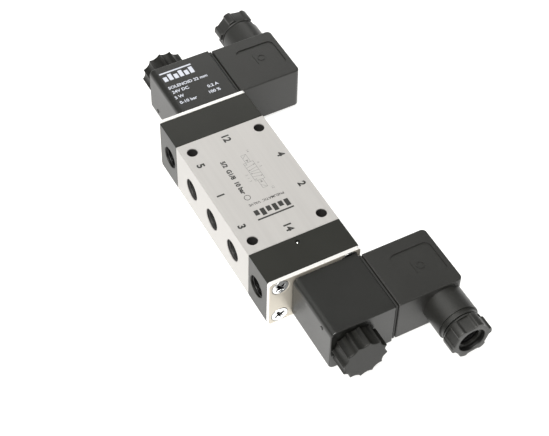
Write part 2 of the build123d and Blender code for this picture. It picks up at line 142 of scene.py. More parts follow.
def arc_rows(x, radius, edge, start, end, share, steps=5):
    """Rows of a rounded edge: a quarter circle of radius edge about (x, radius), from start to end."""
    turn = np.linspace(start, end, steps)
    return [(x + edge * math.cos(t), radius + edge * math.sin(t), share) for t in turn]


def grid_faces(rows, columns, wrap_rows):
    """Quads of a grid of points whose columns close on themselves, and whose rows may."""
    i = np.arange(rows if wrap_rows else rows - 1)[:, None]
    j = np.arange(columns)[None, :]
    after, beside = (i + 1) % rows, (j + 1) % columns
    corners = [i * columns + j, i * columns + beside, after * columns + beside, after * columns + j]
    return np.stack(corners, axis=-1).reshape(-1, 4)


def shell(points, wrap_rows=False):
    """The vertices and faces of a grid of points."""
    rows, columns = points.shape[:2]
    return points.reshape(-1, 3), grid_faces(rows, columns, wrap_rows).tolist()


def prism(outline, low, high):
    """A flat outline, walked round once, made solid between two heights."""
    flat = np.asarray(outline, float)
    count = len(flat)
    points = [np.column_stack([flat, np.full(count, height)]) for height in (low, high)]
    sides = [[k, (k + 1) % count, (k + 1) % count + count, k + count] for k in range(count)]
    caps = [list(range(count))[::-1], list(range(count, 2 * count))]
    return np.vstack(points), sides + caps


def stroke(start, end, width):
    """The outline of a straight line with square ends."""
    a, b = np.array(start, float), np.array(end, float)
    along = (b - a) / np.linalg.norm(b - a) * width / 2
    across = np.array([-along[1], along[0]])
    return [a - along - across, b + along - across, b + along + across, a - along + across]


def rectangle(low, high):
    return [low, (high[0], low[1]), high, (low[0], high[1])]


def frame_strokes(low, high, width):
    """The four lines of a drawn rectangle."""
    corners = rectangle(low, high)
    return [stroke(corners[k], corners[(k + 1) % 4], width) for k in range(4)]


def flat_ring(centre, radius, width, low, high, count=40):
    """A flat ring: a rectangle of the given width and heights carried round a circle."""
    angle = np.linspace(0, FULL_TURN, count, endpoint=False)
    section = [(radius - width / 2, low), (radius + width / 2, low)]
    section += [(radius + width / 2, high), (radius - width / 2, high)]
    rows = [
        np.stack([centre[0] + r * np.cos(angle), centre[1] + r * np.sin(angle), 0 * angle + z], -1)
        for r, z in section
    ]
    return shell(np.array(rows), wrap_rows=True)


def merged(parts):
    """Several (vertices, faces) pairs as one."""
    points, faces, offset = [], [], 0
    for vertices, polygons in parts:
        points.append(vertices)
        faces += [[index + offset for index in polygon] for polygon in polygons]
        offset += len(vertices)
    return np.vstack(points), faces


def add_piece(name, part, material, body, stands_for=(), hollow=None):
    """Makes one finished piece of (vertices, faces), with shared points merged and faces turned out.

    The last argument gives how far each vertex lies in a recess, from 0 to 1, for the finish to darken there
    as painted shade."""
    points, faces = part
    mesh = bpy.data.meshes.new(name)
    mesh.from_pydata(points.tolist(), [], faces)
    if hollow is not None:
        mesh.attributes.new("hollow", "FLOAT", "POINT").data.foreach_set("value", np.ravel(hollow))
    tidy = bmesh.new()
    tidy.from_mesh(mesh)
    bmesh.ops.remove_doubles(tidy, verts=tidy.verts, dist=MM / 1000)
    bmesh.ops.recalc_face_normals(tidy, faces=tidy.faces)
    tidy.to_mesh(mesh)
    tidy.free()
    mesh.polygons.foreach_set("use_smooth", [True] * len(mesh.polygons))
    mesh.set_sharp_from_angle(angle=SMOOTH_ANGLE)
    mesh.materials.append(material)
    piece = bpy.data.objects.new(name, mesh)
    bpy.context.scene.collection.objects.link(piece)
    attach(piece, body)
    if stands_for:
        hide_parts(*stands_for)
    return piece


def letters(text, size, place, thick, bold):
    """The solid of one line of plain letters, centred, with its place applied to its points."""
    curve = bpy.data.curves.new("letters", "FONT")
    curve.body = text
    curve.size = size
    curve.extrude = thick / 2
    curve.offset = bold
    curve.align_x = "CENTER"
    curve.align_y = "CENTER"
    curve.resolution_u = 4
    source = bpy.data.objects.new("letters", curve)
    bpy.context.scene.collection.objects.link(source)
    bpy.context.view_layer.update()
    mesh = bpy.data.meshes.new_from_object(source.evaluated_get(bpy.context.evaluated_depsgraph_get()))
    points = np.zeros(len(mesh.vertices) * 3)
    mesh.vertices.foreach_get("co", points)
    points = points.reshape(-1, 3)
    middle = (points.min(0) + points.max(0)) / 2
    points = (points - middle) @ np.array(place.to_3x3()).T + np.array(place.translation)
    faces = [list(polygon.vertices) for polygon in mesh.polygons]
    bpy.data.objects.remove(source)
    bpy.data.curves.remove(curve)
    bpy.data.meshes.remove(mesh)
    return points, faces


def reading(along, up, origin):
    """The place of a line of letters: the way it reads, the way its tops point, and its middle."""
    along, up = Vector(along), Vector(up)
    place = Matrix((along, up, along.cross(up))).transposed().to_4x4()
    place.translation = Vector(origin)
    return place


# ---------------------------------------------------------------- finishes


def new_group(name, inputs, outputs):
    """A shader node group with named sockets, and its input and output nodes."""
    group = bpy.data.node_groups.new(name, "ShaderNodeTree")
    for label, kind, value in inputs:
        socket = group.interface.new_socket(name=label, in_out="INPUT", socket_type=kind)
        socket.default_value = value
    for label, kind in outputs:
        group.interface.new_socket(name=label, in_out="OUTPUT", socket_type=kind)
    return group, group.nodes.new("NodeGroupInput"), group.nodes.new("NodeGroupOutput")


def add_node(tree, kind, **settings):
    node = tree.nodes.new(kind)
    for key, value in settings.items():
        setattr(node, key, value)
    return node


def math_node(tree, operation, first, second):
    """A Math node fed by sockets or numbers."""
    node = add_node(tree, "ShaderNodeMath", operation=operation)
    for socket, value in zip(node.inputs, (first, second)):
        if isinstance(value, (int, float)):
            socket.default_value = value
        else:
            tree.links.new(value, socket)
    return node.outputs[0]


def moulded_skin_group():
    """Fine moulded texture: two sizes of noise as a height, and slow cloudy patches as a mask."""
    inputs = [("Grain Scale", "NodeSocketFloat", 3000.0), ("Cloud Scale", "NodeSocketFloat", 60.0)]
    outputs = [("Height", "NodeSocketFloat"), ("Cloud", "NodeSocketFloat")]
    group, given, result = new_group("moulded skin", inputs, outputs)
    link = group.links.new
    place = add_node(group, "ShaderNodeTexCoord").outputs["Object"]
    grain = add_node(group, "ShaderNodeTexNoise")
    grain.inputs["Detail"].default_value = 3.0
    cloud = add_node(group, "ShaderNodeTexNoise")
    cloud.inputs["Detail"].default_value = 4.0
    for noise, scale in ((grain, "Grain Scale"), (cloud, "Cloud Scale")):
        link(place, noise.inputs["Vector"])
        link(given.outputs[scale], noise.inputs["Scale"])
    link(grain.outputs["Fac"], result.inputs["Height"])
    link(cloud.outputs["Fac"], result.inputs["Cloud"])
    return group


def drawn_lines_group():
    """Machining lines: noise stretched along X, with a finer grain laid over it."""
    inputs = [("Line Scale", "NodeSocketFloat", 900.0), ("Grain Scale", "NodeSocketFloat", 4000.0)]
    outputs = [("Height", "NodeSocketFloat"), ("Lines", "NodeSocketFloat")]
    group, given, result = new_group("drawn lines", inputs, outputs)
    link = group.links.new
    place = add_node(group, "ShaderNodeTexCoord").outputs["Object"]
    stretch = add_node(group, "ShaderNodeMapping")
    stretch.inputs["Scale"].default_value = (0.03, 1.0, 1.0)
    link(place, stretch.inputs["Vector"])
    lines = add_node(group, "ShaderNodeTexNoise")
    link(stretch.outputs["Vector"], lines.inputs["Vector"])
    link(given.outputs["Line Scale"], lines.inputs["Scale"])
    grain = add_node(group, "ShaderNodeTexNoise")
    link(place, grain.inputs["Vector"])
    link(given.outputs["Grain Scale"], grain.inputs["Scale"])
    both = math_node(group, "ADD", lines.outputs["Fac"], grain.outputs["Fac"])
    link(math_node(group, "MULTIPLY", both, 0.5), result.inputs["Height"])
    link(lines.outputs["Fac"], result.inputs["Lines"])
    return group


def painted_rim_group():
    """Painted highlight on the rims of a sheet that lies across X: a mask where the surface faces away from
    X.
    """
    inputs = [("Limit", "NodeSocketFloat", 0.6)]
    group, given, result = new_group("cut edges", inputs, [("Mask", "NodeSocketFloat")])
    link = group.links.new
    way = add_node(group, "ShaderNodeSeparateXYZ")
    link(add_node(group, "ShaderNodeTexCoord").outputs["Normal"], way.inputs["Vector"])
    upright = math_node(group, "ABSOLUTE", way.outputs["X"], 0.0)
    link(math_node(group, "LESS_THAN", upright, given.outputs["Limit"]), result.inputs["Mask"])
    return group


def dust_group():
    """Sparse specks: the cells of a Voronoi pattern nearer to their seed than a threshold."""
    inputs = [("Scale", "NodeSocketFloat", 700.0), ("Size", "NodeSocketFloat", 0.08)]
    group, given, result = new_group("dust", inputs, [("Mask", "NodeSocketFloat")])
    place = add_node(group, "ShaderNodeTexCoord").outputs["Object"]
    cells = add_node(group, "ShaderNodeTexVoronoi")
    group.links.new(place, cells.inputs["Vector"])
    group.links.new(given.outputs["Scale"], cells.inputs["Scale"])
    near = math_node(group, "LESS_THAN", cells.outputs["Distance"], given.outputs["Size"])
    group.links.new(near, result.inputs["Mask"])
    return group


def shaded(color, factor):
    """A colour made lighter or darker, with full alpha."""
    return [min(1.0, channel * factor) for channel in color[:3]] + [1.0]


def finish(name, groups, color, roughness, metallic=0.0, lines=False, scales=(3000.0, 60.0),
           height=0.00002, spread=0.1, contrast=0.06, specks=0.0, specular=0.5, edges=None):
    """A material: its colour and roughness drift with a pattern group, whose height feeds a bump. A vertex
    attribute paints shade into recesses, and an optional rim colour paints a highlight on a sheet's rims.
    """
    material = bpy.data.materials.new(name)
    material.use_nodes = True
    tree = material.node_tree
    link = tree.links.new
    shader = tree.nodes["Principled BSDF"]
    shader.inputs["Metallic"].default_value = metallic
    shader.inputs["Specular IOR Level"].default_value = specular
    pattern = add_node(tree, "ShaderNodeGroup", node_tree=groups["lines" if lines else "skin"])
    for socket, value in zip(pattern.inputs, scales):
        socket.default_value = value
    drift = pattern.outputs[1]
    mix = add_node(tree, "ShaderNodeMix", data_type="RGBA")
    mix.inputs["A"].default_value = shaded(color, 1 - contrast)
    mix.inputs["B"].default_value = shaded(color, 1 + contrast)
    link(drift, mix.inputs["Factor"])
    base = mix.outputs["Result"]
    if specks:
        dust = add_node(tree, "ShaderNodeGroup", node_tree=groups["dust"])
        pale = add_node(tree, "ShaderNodeMix", data_type="RGBA")
        pale.inputs["B"].default_value = shaded(color, 1 + specks)
        link(dust.outputs["Mask"], pale.inputs["Factor"])
        link(base, pale.inputs["A"])
        base = pale.outputs["Result"]
    # Painted highlight: the rim faces of a sheet take a near-white colour.
    if edges:
        highlight_mask = add_node(tree, "ShaderNodeGroup", node_tree=groups["edges"])
        bright = add_node(tree, "ShaderNodeMix", data_type="RGBA")
        bright.inputs["B"].default_value = shaded(edges, 1)
        link(highlight_mask.outputs["Mask"], bright.inputs["Factor"])
        link(base, bright.inputs["A"])
        base = bright.outputs["Result"]
    # Painted shade: where the vertex attribute marks a recess, the colour darkens towards 5%.
    painted_dark = add_node(tree, "ShaderNodeMix", data_type="RGBA")
    painted_dark.inputs["B"].default_value = shaded(color, 0.05)
    link(add_node(tree, "ShaderNodeAttribute", attribute_name="hollow").outputs["Fac"], painted_dark.inputs["Factor"])
    link(base, painted_dark.inputs["A"])
    link(painted_dark.outputs["Result"], shader.inputs["Base Color"])
    rough = math_node(tree, "MULTIPLY", drift, spread)
    link(math_node(tree, "ADD", rough, roughness - spread / 2), shader.inputs["Roughness"])
    bump = add_node(tree, "ShaderNodeBump")
    bump.inputs["Distance"].default_value = height
    link(pattern.outputs["Height"], bump.inputs["Height"])
    link(bump.outputs["Normal"], shader.inputs["Normal"])
    return material


def make_finishes(colors):
    """Every finish of the valve, by the name of its slot in the record, with the two printing inks."""
    groups = {"skin": moulded_skin_group(), "lines": drawn_lines_group(),
              "dust": dust_group(), "edges": painted_rim_group()}
    grey_steel = (0.62, 0.62, 0.61)
    return {
        "anodised_aluminium": finish("anodised aluminium", groups, colors.aluminium, 0.42, 0.5, lines=True,
                                     scales=(700.0, 2500.0), height=0.000012, spread=0.12, contrast=0.05),
        "black_aluminium": finish("black anodised aluminium", groups, colors.head, 0.36,
                                  scales=(2600.0, 45.0), contrast=0.18, specks=1.2),
        # The plate's rims get a painted highlight.
        "plated_plate": finish("bright plated sheet", groups, (0.56, 0.52, 0.45), 0.38, 0.6, lines=True,
                               height=0.000004, contrast=0.03, edges=(0.92, 0.91, 0.89)),
        "zinc_steel": finish("bright zinc screw", groups, (0.86, 0.87, 0.88), 0.16, 1.0,
                             scales=(1500.0, 300.0), height=0.000004),
        "polished_steel": finish("ground steel", groups, (0.78, 0.78, 0.77), 0.18, 1.0, height=0.000002),
        "coil_plastic": finish("coil housing plastic", groups, colors.coil, 0.36,
                               scales=(2200.0, 50.0), contrast=0.15, specks=0.8, specular=0.66),
        "connector_plastic": finish("connector plastic", groups, colors.connector, 0.44,
                                    scales=(1800.0, 55.0), height=0.00003, contrast=0.12, specks=0.6,
                                    specular=0.62),
        "nut_plastic": finish("fluted nut plastic", groups, colors.nut, 0.42,
                              scales=(2000.0, 120.0), height=0.00003, contrast=0.15, specks=0.8,
                              specular=0.28),
        "gasket_rubber": finish("gasket rubber", groups, (0.017, 0.017, 0.016), 0.6, contrast=0.1,
                                specular=0.35),
        "seal_rubber": finish("seal rubber", groups, (0.007, 0.007, 0.007), 0.6, contrast=0.1,
                              specular=0.25),
        "sleeve_plastic": finish("natural plastic", groups, (0.45, 0.43, 0.38), 0.4),
        "copper": finish("enamelled copper", groups, (0.72, 0.30, 0.12), 0.3, 1.0, lines=True),
        "tin_plate": finish("tinned brass", groups, (0.72, 0.71, 0.69), 0.3, 1.0),
        "magnet_iron": finish("magnetic stainless steel", groups, grey_steel, 0.28, 1.0, lines=True),
        "body ink": finish("dark printing ink", groups, colors.body_ink, 0.5, spread=0.05, contrast=0.2),
        "faint ink": finish("faint printing ink", groups, colors.faint_ink, 0.5, spread=0.05),
        "label ink": finish("white printing ink", groups, colors.label_ink, 0.5, spread=0.05),
    }


FINISHES = {}


# ---------------------------------------------------------------- settings


def tint(name, description, default):
    return FloatVectorProperty(name=name, description=description, subtype="COLOR", size=3,
                               min=0.0, max=1.0, default=default)


def length(name, description, default):
    return FloatProperty(name=name, description=description, unit="LENGTH", precision=5, default=default)


class ValveColors(bpy.types.PropertyGroup):
    """Colours of the outer pieces and of the printing."""

    aluminium: tint("Valve body", "Light satin anodising", (0.50, 0.486, 0.472))
    head: tint("Pilot heads", "Black anodising", (0.0105, 0.0108, 0.0082))
    coil: tint("Coils", "Near-black moulded plastic", (0.0072, 0.0074, 0.0062))
    connector: tint("Connectors", "Dark grey moulded plastic", (0.0105, 0.0105, 0.0091))
    nut: tint("Fluted nuts", "Dark glass-filled plastic", (0.008, 0.008, 0.0068))
    body_ink: tint("Body ink", "Port numbers and lines on the body", (0.02, 0.0195, 0.018))
    faint_ink: tint("Faint ink", "The switching symbol on the body", (0.22, 0.215, 0.21))
    label_ink: tint("Label ink", "Printing on the coils", (0.48, 0.50, 0.56))


class ValveSizes(bpy.types.PropertyGroup):
    """Sizes of the pieces that are added to the frame."""

    flutes: IntProperty(name="Flutes", description="Flutes round a retaining nut", default=12)
    flute_depth: length("Flute depth", "Depth of a flute below the line between its cusps", 0.9 * MM)
    knob_edge: length("Nut edge", "Rounding of a retaining nut's front edge", 0.4 * MM)
    knob_bore: length("Nut bore", "Radius of a retaining nut's bore", 4.45 * MM)
    gland_flat: length("Gland nut flats", "Half the width across a gland nut's flats", 7.6 * MM)
    gland_rib: length("Gland nut rib", "Half the width of a rib on a gland nut's corner", 1.8 * MM)
    gland_hole: length("Gland nut hole", "Radius of the hole for the cable", 5.75 * MM)
    port_pitch: length("Port thread pitch", "Pitch of the pipe thread in the ports", 0.907 * MM)
    port_thread: length("Port thread depth", "Height of the port thread's ridge", 0.42 * MM)
    # Painted shade: how far the port threads and the mounting hole linings are darkened.
    painted_port_shade: FloatProperty(name="Port shade", description="How dark the bare threads are",
                              subtype="FACTOR", min=0.0, max=1.0, default=0.95)
    stud_pitch: length("Stud thread pitch", "Pitch of the thread on the stem's stud", 1.0 * MM)
    gland_pitch: length("Gland thread pitch", "Pitch of the thread on the gland's neck", 1.5 * MM)
    spring_wire: length("Spring wire", "Radius of the wire of a plunger's spring", 0.3 * MM)
    spring_turns: IntProperty(name="Spring turns", description="Turns of a plunger's spring", default=6)
    screw_head: length("Screw head", "Radius of a flange screw's head", 3.46 * MM)
    # The countersink ring is darkened by painted shade in the screw's finish.
    screw_ring: length("Screw ring", "Radius of the dark countersink round a flange screw's head", 3.8 * MM)
    cross_reach: length("Cross recess reach", "Length of one arm of the cross recess", 2.3 * MM)
    cross_depth: length("Cross recess depth", "Depth of the cross recess at its middle", 1.5 * MM)
    ink: length("Ink", "How far printing stands off a surface", 0.012 * MM)


class ValveStage(bpy.types.PropertyGroup):
    """The camera, the floor and the lights."""

    lens: FloatProperty(name="Focal length", description="In millimetres, on a 36 mm wide sensor",
                        unit="CAMERA", default=95.27)
    eye: FloatVectorProperty(name="Camera place", description="Where the camera stands", unit="LENGTH",
                             size=3, default=(0.34014, -0.18345, 0.45675))
    aim: FloatVectorProperty(name="Camera direction", description="The way the camera looks",
                             subtype="DIRECTION", size=3, default=(-0.56410, 0.31918, -0.76152))
    roll: FloatProperty(name="Camera roll", description="Turn about the line of sight", unit="ROTATION",
                        default=math.radians(1.495))
    floor_size: length("Floor", "Half the width of the floor", 3.0)
    table: FloatProperty(name="Light table", description="Strength of the light from the floor itself",
                         subtype="FACTOR", min=0.0, default=0.75)
    sky: FloatProperty(name="Sky", description="Strength of the even light all round",
                       subtype="FACTOR", min=0.0, default=0.25)


# ---------------------------------------------------------------- pieces


def fluted(sizes, cusp):
    """The outline of a fluted nut, as a radius less the cusp's.

    A flute is an arc of radius (c*c + d*d) / 2d through two cusps, with half chord c and depth d.
    A smooth minimum with the cusp's radius rounds the cusps."""
    step = FULL_TURN / sizes.flutes
    chord = cusp * math.sin(step / 2)
    arc = (chord**2 + sizes.flute_depth**2) / (2 * sizes.flute_depth)
    middle = cusp * math.cos(step / 2) - sizes.flute_depth + arc
    blunt = 0.06 * MM
    turn = math.radians(KNOB_TURN)

    def outline(angle):
        away = np.mod(angle - turn + step / 2, step) - step / 2
        radius = middle * np.cos(away) - np.sqrt(arc**2 - (middle * np.sin(away)) ** 2)
        return -blunt * np.logaddexp(-radius / blunt, -cusp / blunt) - cusp

    return outline


def ribbed_hexagon(sizes, corner):
    """The outline of a gland nut, as a radius less the corner's: flats, with a rib over each corner."""
    sixth = FULL_TURN / 6
    turn = math.radians(GLAND_TURN)
    soft = 0.12 * MM

    def outline(angle):
        from_corner = np.mod(angle - turn + sixth / 2, sixth) - sixth / 2
        flat = sizes.gland_flat / np.cos(sixth / 2 - np.abs(from_corner))
        beside = np.abs(corner * np.sin(from_corner))
        rib = 1 / (1 + np.exp((beside - sizes.gland_rib) / soft))
        crown = corner - 0.5 * from_corner**2 * corner
        return flat + rib * np.maximum(crown - flat, 0) - corner

    return outline


def thread_ridge(phase):
    """A V-shaped ridge with a flat crest and root, once each turn of the phase."""
    return np.clip(1.5 - 2.6 * np.abs(np.mod(phase, 1.0) - 0.5) * 2, 0, 1)


def threaded_sleeve(root, wall, depth, pitch, span, inward, count=72):
    """A thin threaded sleeve about X: ridge height depth * ridge(x / pitch - angle / full turn).

    The ridge fades in over one pitch at each end. The plain wall behind it closes the sleeve."""
    turns = (span[1] - span[0]) / pitch
    x = np.linspace(span[0], span[1], int(turns * 10))[:, None]
    angle = np.linspace(0, FULL_TURN, count, endpoint=False)[None, :]
    fade = np.clip(np.minimum(x - span[0], span[1] - x) / pitch, 0, 1)
    ridge = depth * fade * thread_ridge((x - span[0]) / pitch - angle / FULL_TURN)
    radius = root + (-ridge if inward else ridge)
    face = np.stack([x + 0 * angle, radius * np.cos(angle), radius * np.sin(angle)], axis=-1)
    back = turned([(span[1], wall, 0), (span[0], wall, 0)], count)
    return np.concatenate([face, back])


def retaining_nut(sizes, end):
    """The fluted nut: bore, seal groove, rounded flutes and a flat front."""
    (start, stop), (_, _), (_, high) = stem_box("retaining_nut")
    cusp = high + 0.05 * MM
    bore, edge = sizes.knob_bore, sizes.knob_edge
    groove, groove_floor = (5.1 * MM, 7.2 * MM), start + 1.3 * MM
    depth = start + 6.8 * MM
    rows = [(depth, 0, 0), (depth, bore, 0), (start, bore, 0), (start, groove[0], 0)]
    rows += [(groove_floor, groove[0], 0), (groove_floor, groove[1], 0), (start, groove[1], 0)]
    rows += arc_rows(start + edge / 2, cusp - edge / 2, edge / 2, math.pi, math.pi / 2, 1)
    rows += arc_rows(stop - edge, cusp - edge, edge, math.pi / 2, 0, 1, steps=7)
    rows += [(stop, cusp * share, share) for share in (0.85, 0.6, 0.3)] + [(stop, 0, 0)]
    points = turned(rows, sizes.flutes * 24, fluted(sizes, cusp))
    # Painted shade in the flutes: darkest at a flute's bottom, none near the cusps or the front edge.
    below = cusp - np.hypot(points[..., 1], points[..., 2])
    beside = (points[..., 0] < stop - edge) & (below < sizes.flute_depth * 1.2)
    hollow = np.where(beside, np.clip(below / sizes.flute_depth, 0, 1) ** 2, 0)
    return shell(seat(points, end)), 0.9 * hollow


def gland_nut(sizes, end):
    """The gland nut: a ribbed hexagon with a round rear collar, open at the front for the cable."""
    (start, stop), (left, right), _ = stem_box("gland_nut")
    corner, edge = 9.0 * MM, 0.35 * MM
    collar, bore, floor = 8.15 * MM, 7.25 * MM, start + 5.6 * MM
    hole = sizes.gland_hole
    rows = [(start, bore, 0), (start, collar - edge, 0)]
    rows += arc_rows(start + edge, collar - edge, edge, math.pi, math.pi / 2, 0)
    rows += [(start + 0.8 * MM, collar, 0), (start + 0.95 * MM, corner - edge, 1)]
    rows += arc_rows(start + 1.2 * MM, corner - edge, edge, math.pi, math.pi / 2, 1)
    rows += arc_rows(stop - edge, corner - edge, edge, math.pi / 2, 0, 1, steps=6)
    rows += [(stop, hole + edge, 0)]
    rows += arc_rows(stop - edge, hole + edge, edge, 0, -math.pi / 2, 0)
    rows += [(floor, hole, 0), (floor, bore, 0)]
    points = turned(rows, 240, ribbed_hexagon(sizes, corner)) + (0, GLAND_Y, 0)
    # Painted shade inside the cable hole: its wall and floor are fully darkened, fading back along the bore.
    hollow = np.zeros(points.shape[:2])
    hollow[-3:] = 1.0
    return shell(seat(points, end), wrap_rows=True), hollow


def plunger_spring(sizes, end):
    """A coil spring about X: a circle of wire carried along a helix, its radius less the wire's."""
    (start, stop), _, (_, outer) = stem_box("plunger_spring")
    wire, turns = sizes.spring_wire, sizes.spring_turns
    share = np.linspace(0, 1, 28 * turns + 1)
    share = np.concatenate([[0], share, [1]])[:, None]
    thick = np.full(share.shape, wire)
    thick[0] = thick[-1] = 0
    around = np.linspace(0, FULL_TURN, 12, endpoint=False)[None, :]
    radius = outer - wire + thick * np.cos(around)
    along = start + wire + (stop - start - 2 * wire) * share + thick * np.sin(around)
    angle = FULL_TURN * turns * share
    return shell(seat(np.stack([along, radius * np.cos(angle), radius * np.sin(angle)], axis=-1), end))


def cross_recess(y, z, sizes, turn):
    """Depth of a cross recess at (y, z): two tapering arms, deepest in the middle, with soft walls."""
    u = y * np.cos(turn) + z * np.sin(turn)
    v = z * np.cos(turn) - y * np.sin(turn)
    reach, arm, soft = sizes.cross_reach, 0.8 * MM, 0.22 * MM

    def inside(along, across):
        width = arm * (1.1 - 0.5 * np.abs(along) / reach)
        return np.minimum(width - np.abs(across), reach - np.abs(along))

    within = np.maximum(inside(u, v), inside(v, u))
    wall = np.clip(within / soft, 0, 1)
    fall = np.clip(1.1 - (np.hypot(u, v) / reach) ** 2 * 0.6, 0.2, 1)
    return sizes.cross_depth * wall * wall * (3 - 2 * wall) * fall


def flange_screw(sizes, y, z, turn, end):
    """A countersunk screw about X at (y, z): a polar grid carries the cross recess and the cone."""
    start, stop = SCREW_HIGH.x - SCREW_LONG, SCREW_HIGH.x
    head, ring, shank, cone = sizes.screw_head, sizes.screw_ring, 2.0 * MM, 1.7 * MM
    edge, crown, sunk = 0.12 * MM, 0.03 * MM, 0.2 * MM
    radii = np.linspace(0, head - edge, 34)
    rows = [(stop - crown * (r / head) ** 2, r, 0) for r in radii]
    rows += arc_rows(stop - crown - edge, head - edge, edge, 0, math.pi / 2, 0)[1:]
    gap = len(rows)
    rows += [(stop - sunk, head, 0), (stop - sunk, ring, 0), (stop - cone, shank, 0)]
    rows += [(start + shank / 2, shank, 0), (start, shank / 2, 0), (start, 0, 0)]
    points = turned(rows, 120)
    top = points[: len(radii)]
    depth = cross_recess(top[..., 1], top[..., 2], sizes, turn)
    top[..., 0] -= depth
    # Painted shade: the countersink ring, the head's side below its edge and the shank are darkened fully,
    # and the cross recess darkens with its depth.
    hollow = np.zeros(points.shape[:2])
    hollow[gap:] = 1.0
    hollow[: len(radii)] = np.clip(depth / (0.25 * sizes.cross_depth), 0, 1)
    return shell(seat(points + (0, y, z), end)), hollow


def port_sleeves(sizes):
    """Threaded sleeves of the ports, as (mount name, points), each turned from X onto its own bore."""
    sleeves = []
    lip, behind = 0.35 * MM, 0.02 * MM
    mouth = abs(BODY_LOW.y)
    for mount in frame["record"]["mounts"]:
        if mount["kind"] != "threaded_hole":
            continue
        side, radius = mount["axis"][1], mount["dims"]["r_mm"] * MM
        span = (mouth - mount["dims"]["length_mm"] * MM, mouth - lip)
        wall = radius - CLEAR
        points = threaded_sleeve(wall - behind, wall, sizes.port_thread, sizes.port_pitch, span, True)
        along, first, second = np.moveaxis(points, -1, 0)
        placed = np.stack([mount["pos_m"][0] + first, side * along, mount["pos_m"][2] + second], axis=-1)
        sleeves.append((mount["name"], placed))
    return sleeves


def hole_linings(sizes):
    """A sheet of painted shade in each mounting hole: a thin closed tube about Z, clear of both rims."""
    pattern = next(m for m in frame["record"]["mounts"] if m["kind"] == "bolt_pattern")["dims"]
    outer = pattern["hole_r_mm"] * MM - CLEAR
    rim, thick = 0.45 * MM, 0.03 * MM
    rows = [(BODY_LOW.z + rim, outer, 0), (BODY_HIGH.z - rim, outer, 0)]
    rows += [(high, outer - thick, 0) for high in (BODY_HIGH.z - rim, BODY_LOW.z + rim)]
    height, first, second = np.moveaxis(turned(rows, 64), -1, 0)
    tube = np.stack([first, second, height], axis=-1)
    linings = []
    for x in (-0.5, 0.5):
        for y in (-0.5, 0.5):
            centre = (x * pattern["spacing_x_mm"] * MM, y * pattern["spacing_y_mm"] * MM, 0)
            linings.append(shell(tube + centre, wrap_rows=True))
    return merged(linings)


def printed(outlines, height, ink):
    """Flat outlines as ink: each one a thin solid, half sunk in its surface."""
    return [prism(outline, height - ink, height + ink) for outline in outlines]


def arrow(start, end, width):
    """A line with a plain head at its end."""
    a, b = np.array(start, float), np.array(end, float)
    along = (b - a) / np.linalg.norm(b - a)
    across = np.array([-along[1], along[0]])
    neck = b - along * 5 * width
    head = [neck - across * 2.5 * width, b, neck + across * 2.5 * width]
    return [stroke(a, neck, width), head]


def blocked(point, way, size, width):
    """A closed port: a short stem with a bar across it. way is +1 upwards or -1 downwards."""
    x, y = point
    top = (x, y + way * size)
    return [stroke(point, top, width), stroke((x - size / 2, top[1]), (x + size / 2, top[1]), width)]


def switching_symbol(width):
    """The switching symbol of a two-position five-port valve with a solenoid pilot at each end."""
    low, high, wide, middle = 0.2 * MM, 4.4 * MM, 5.2 * MM, -5.7 * MM
    mid_y = (low + high) / 2
    lines = []
    for box, flows in ((-1, ((0.5, 0.33), (0.67, 0.83))), (0, ((0.5, 0.67), (0.33, 0.17)))):
        left = middle + box * wide
        lines += frame_strokes((left, low), (left + wide, high), width)
        for (start, stop), downwards in zip(flows, (False, True)):
            bottom, top = ((stop, start) if downwards else (start, stop))
            ends = [(left + bottom * wide, low), (left + top * wide, high)]
            lines += arrow(*(ends[::-1] if downwards else ends), width)
        shut = left + (0.17 if box else 0.83) * wide
        lines += blocked((shut, low), 1, 0.9 * MM, width)
    for side in (-1, 1):
        inner = middle + side * wide
        outer = inner + side * 4.4 * MM
        corners = sorted((inner, outer))
        lines += frame_strokes((corners[0], mid_y - 1.1 * MM), (corners[1], mid_y + 1.1 * MM), width)
        lines.append(stroke((inner + side * 2.6 * MM, mid_y - MM), (outer, mid_y + MM), width))
        tip = inner + side * 0.2 * MM
        base = inner + side * 1.5 * MM
        lines.append([(base, mid_y - 0.6 * MM), (tip, mid_y), (base, mid_y + 0.6 * MM)])
    return lines


def bar_mark(along, across, reach, width):
    """A plain mark in place of a name: a row of blocks beside one long bar."""
    count = 6
    step = 2 * reach / count
    blocks = []
    for number in range(count):
        low = along - reach + step * (number + 0.14)
        tall = width if number % 2 else 0.72 * width
        blocks.append(rectangle((across - width / 2, low), (across - width / 2 + tall, low + 0.72 * step)))
    bar = (across + 0.72 * width, along - reach), (across + 0.92 * width, along + reach)
    return blocks + [rectangle(*bar)]


def body_print(sizes, small):
    """Letters on the body's top: the port numbers, two plain lines and a ring, or the symbol's numbers."""
    top = BODY_HIGH.z
    lines = SMALL_NUMBERS if small else PORT_NUMBERS
    size, bold = (1.5 * MM, BOLD["symbol"] * MM) if small else (4.4 * MM, BOLD["port"] * MM)
    parts = []
    for text, (x, y) in lines.items():
        place = reading((1, 0, 0), (0, 1, 0), (x * MM, y * MM, top))
        parts.append(letters(text, size, place, 2 * sizes.ink, bold))
    if not small:
        place = reading((1, 0, 0), (0, 1, 0), (-6.3 * MM, -6.9 * MM, top))
        parts.append(letters("5/2  G1/8  10 bar", 2.75 * MM, place, 2 * sizes.ink, BOLD["rating"] * MM))
        place = reading((0, -1, 0), (1, 0, 0), (9.8 * MM, -0.4 * MM, top))
        parts.append(letters("PNEUMATIC  VALVE", 1.75 * MM, place, 2 * sizes.ink, BOLD["name"] * MM))
        parts.append(flat_ring((5.7 * MM, -6.8 * MM), 1.25 * MM, 0.25 * MM, top - sizes.ink, top + sizes.ink))
    return parts


